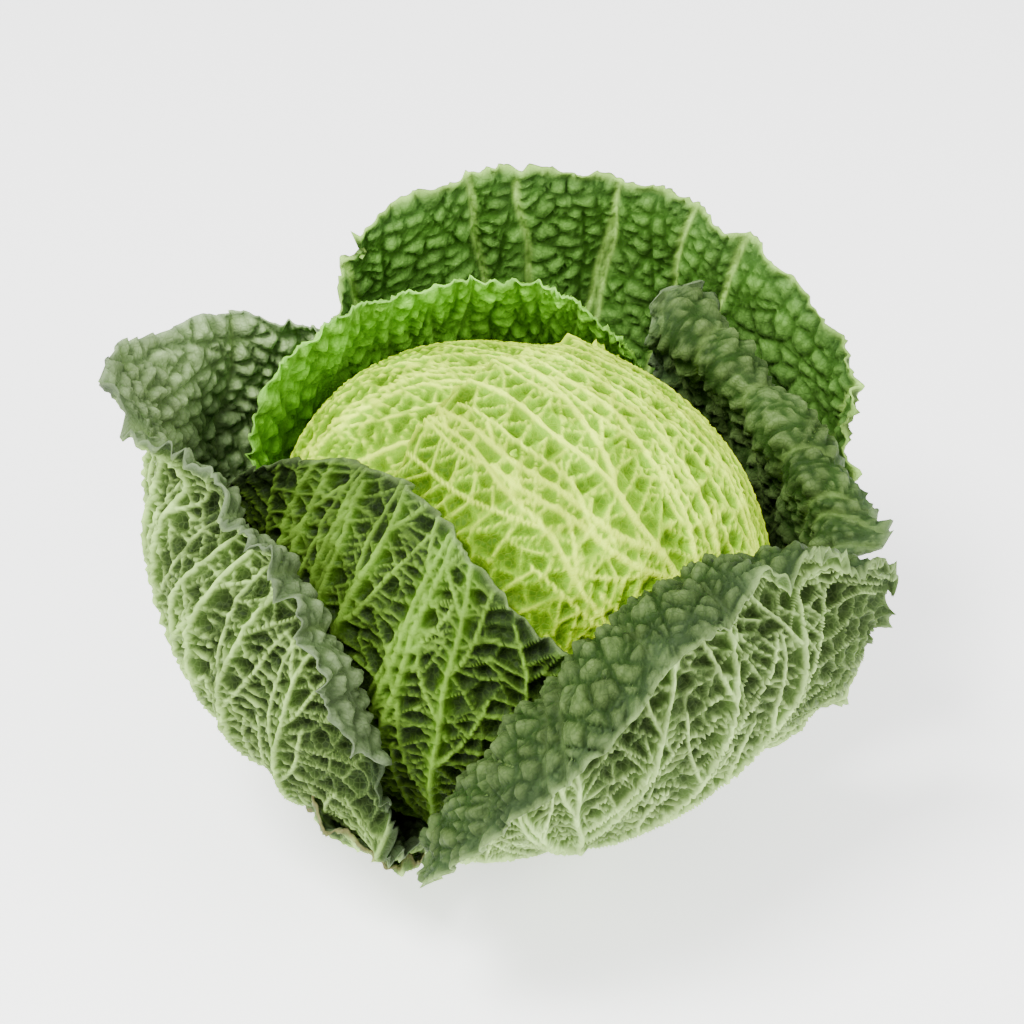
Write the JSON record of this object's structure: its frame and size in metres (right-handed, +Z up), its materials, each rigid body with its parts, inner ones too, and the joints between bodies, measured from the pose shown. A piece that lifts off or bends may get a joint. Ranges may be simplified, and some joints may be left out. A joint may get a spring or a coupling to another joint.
{
  "type": "savoy cabbage",
  "caption": "Savoy cabbage: a round pale green head in netted wrapper leaves, set in open, crinkled dark green outer leaves with raised ribs and rolled wavy edges, on a cut stalk.",
  "frame": {"origin": "the middle of the stalk's flat cut, on which the cabbage stands", "axes": "+Z up along the stalk into the head; -Y to the front, where the outer leaves part and show the head; +X to the right"},
  "size_m": [0.276, 0.2584, 0.2035],
  "materials": {
    "stalk": "moist cream plant stem with a pale fibrous cut",
    "heart_leaf": "waxy pale green leaf",
    "wrapper_leaf": "waxy pale green leaf with a raised cream net of veins",
    "bright_leaf": "crinkled bright green leaf, satin",
    "outer_leaf": "crinkled green leaf with pale raised ribs and a thin grey bloom",
    "dark_leaf": "crinkled dark green leaf with a thin grey bloom"
  },
  "bodies": {
    "root": {"stalk": "stalk", "head": "heart_leaf", "wrapper_leaf_back": "wrapper_leaf", "wrapper_leaf_left": "wrapper_leaf", "wrapper_leaf_right": "wrapper_leaf", "leaf_front": "outer_leaf", "leaf_ring": "bright_leaf", "leaf_right": "dark_leaf", "leaf_left": "outer_leaf", "leaf_right_front": "outer_leaf", "leaf_back": "dark_leaf"}
  },
  "joints": []
}
